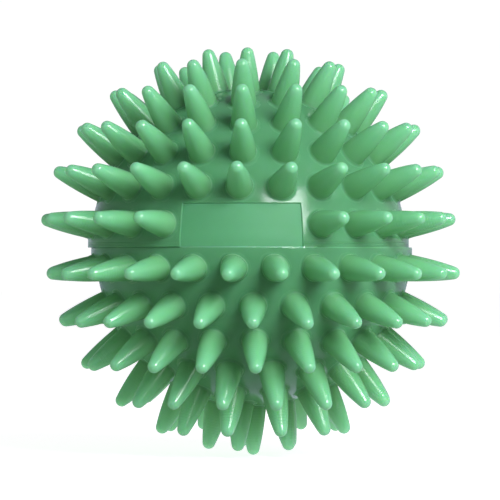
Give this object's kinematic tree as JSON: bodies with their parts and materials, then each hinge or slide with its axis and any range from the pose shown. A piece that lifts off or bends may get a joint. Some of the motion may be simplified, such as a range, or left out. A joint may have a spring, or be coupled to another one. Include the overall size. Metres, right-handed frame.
{
  "type": "massage ball",
  "caption": "Hollow spiky massage ball of soft glossy plastic, rolled by hand over muscles, with a blank panel and a needle valve closed by a small plug.",
  "frame": {"origin": "centre of the ball", "axes": "+Z along the pole axis towards the valve, square to the seam; -Y out through the blank panel, the side seen from the front; +X to the viewer's right"},
  "size_m": [0.1003, 0.0991, 0.0969],
  "materials": {
    "shell_green": "soft glossy PVC, slightly translucent, mint green",
    "ring_green": "plain moulded PVC, hidden inside the ball",
    "valve_rubber": "soft satin rubber, a little darker than the ball",
    "plug_plastic": "moulded plastic stopper in the ball's colour"
  },
  "bodies": {
    "ball": {"upper_half_shell": "shell_green", "lower_half_shell": "shell_green", "bonding_ring": "ring_green", "valve_body": "valve_rubber"},
    "plug": {"valve_plug": "plug_plastic"}
  },
  "joints": [
    {"name": "plug_pull", "type": "slide", "parent": "ball", "child": "plug", "axis": [0, 0, 1], "range_m": [0, 0.035]}
  ]
}
